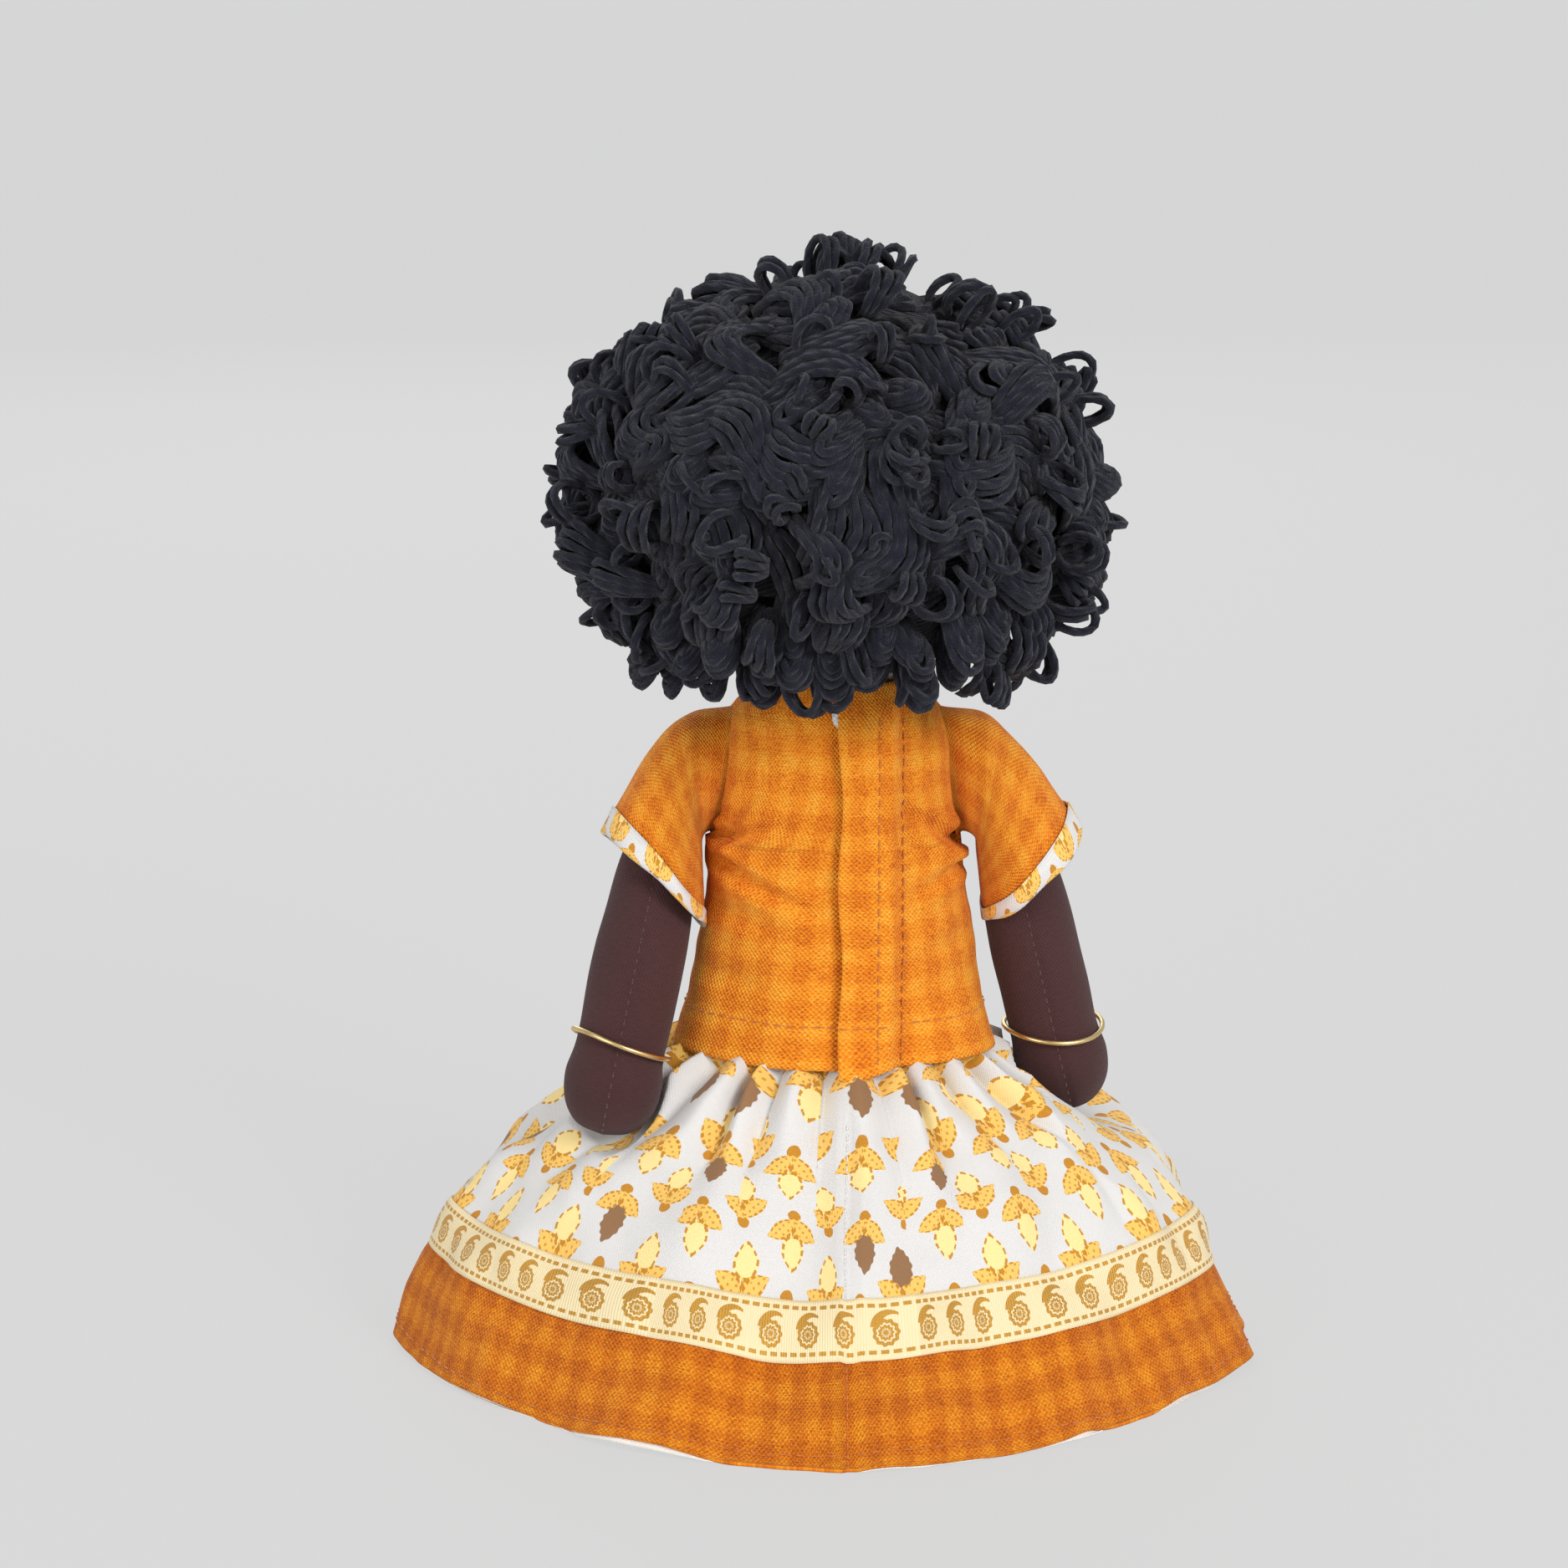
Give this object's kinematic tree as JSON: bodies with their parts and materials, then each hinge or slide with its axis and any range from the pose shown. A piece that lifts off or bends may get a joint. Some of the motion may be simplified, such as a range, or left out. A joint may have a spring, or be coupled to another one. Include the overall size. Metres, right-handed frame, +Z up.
{
  "type": "cloth doll",
  "caption": "Seated stuffed cloth doll with looped yarn hair, a checked blouse, a gathered block-print skirt with a tape border and wire bangles; head, arms and legs move.",
  "frame": {"origin": "middle of the flat seat under the body, on the surface the doll sits on", "axes": "+Z up; the doll faces -Y; +X towards the doll's own left hand"},
  "size_m": [0.2086, 0.271, 0.268],
  "materials": {
    "brown_cloth": "matte",
    "stuffing": "matte",
    "dark_yarn": "matte",
    "orange_check": "matte",
    "white_print": "matte",
    "lace_tape": "satin",
    "white_facing": "matte",
    "closure_tape": "matte",
    "white_elastic": "matte",
    "gold_wire": "polished",
    "black_thread": "satin",
    "red_thread": "satin"
  },
  "bodies": {
    "torso": {"torso_skin": "brown_cloth", "torso_stuffing": "stuffing", "blouse_front": "orange_check", "blouse_back_left": "orange_check", "blouse_back_right": "orange_check", "closure_hook_strip": "closure_tape", "closure_loop_strip": "closure_tape", "neckline_facing": "white_facing", "skirt_waistband": "white_print", "waist_elastic": "white_elastic", "skirt_print_tier": "white_print", "skirt_lace_border": "lace_tape", "skirt_hem_band": "orange_check", "skirt_facing": "white_facing"},
    "neck": {"neck_skin": "brown_cloth", "neck_stuffing": "stuffing"},
    "head": {"head_skin": "brown_cloth", "head_stuffing": "stuffing", "hair_crown": "dark_yarn", "hair_row_upper": "dark_yarn", "hair_row_middle": "dark_yarn", "hair_row_lower": "dark_yarn", "hair_row_nape": "dark_yarn", "eye_left": "black_thread", "eye_right": "black_thread", "brow_left": "black_thread", "brow_right": "black_thread", "nose_stitch": "red_thread", "mouth_stitch": "red_thread"},
    "arm_left": {"arm_left_skin": "brown_cloth", "arm_left_stuffing": "stuffing", "sleeve_left": "orange_check", "sleeve_left_binding": "white_facing"},
    "bangle_left": {"bangle_left": "gold_wire"},
    "leg_left": {"leg_left_skin": "brown_cloth", "leg_left_stuffing": "stuffing"},
    "arm_right": {"arm_right_skin": "brown_cloth", "arm_right_stuffing": "stuffing", "sleeve_right": "orange_check", "sleeve_right_binding": "white_facing"},
    "bangle_right": {"bangle_right": "gold_wire"},
    "leg_right": {"leg_right_skin": "brown_cloth", "leg_right_stuffing": "stuffing"}
  },
  "joints": [
    {"name": "neck_nod", "type": "hinge", "parent": "torso", "child": "neck", "pos_m": [0, 0, 0.158], "axis": [1, 0, 0], "range_deg": [-4, 16]},
    {"name": "head_turn", "type": "hinge", "parent": "neck", "child": "head", "pos_m": [0, 0, 0.173], "axis": [0, 0, 1], "range_deg": [-30, 30]},
    {"name": "shoulder_left", "type": "hinge", "parent": "torso", "child": "arm_left", "pos_m": [0.0375, 0, 0.144], "axis": [-1, 0, 0], "range_deg": [-24, 90]},
    {"name": "bangle_left_slide", "type": "slide", "parent": "arm_left", "child": "bangle_left", "axis": [-0.2011, -0.27, 0.9416], "range_m": [0, 0.016]},
    {"name": "hip_left", "type": "hinge", "parent": "torso", "child": "leg_left", "pos_m": [0.017, -0.04, 0.0148], "axis": [1, 0, 0], "range_deg": [0, 90]},
    {"name": "shoulder_right", "type": "hinge", "parent": "torso", "child": "arm_right", "pos_m": [-0.0375, 0, 0.144], "axis": [-1, 0, 0], "range_deg": [-30, 90]},
    {"name": "bangle_right_slide", "type": "slide", "parent": "arm_right", "child": "bangle_right", "axis": [0.2284, 0.1018, 0.9682], "range_m": [0, 0.016]},
    {"name": "hip_right", "type": "hinge", "parent": "torso", "child": "leg_right", "pos_m": [-0.017, -0.04, 0.0148], "axis": [1, 0, 0], "range_deg": [0, 90]}
  ]
}
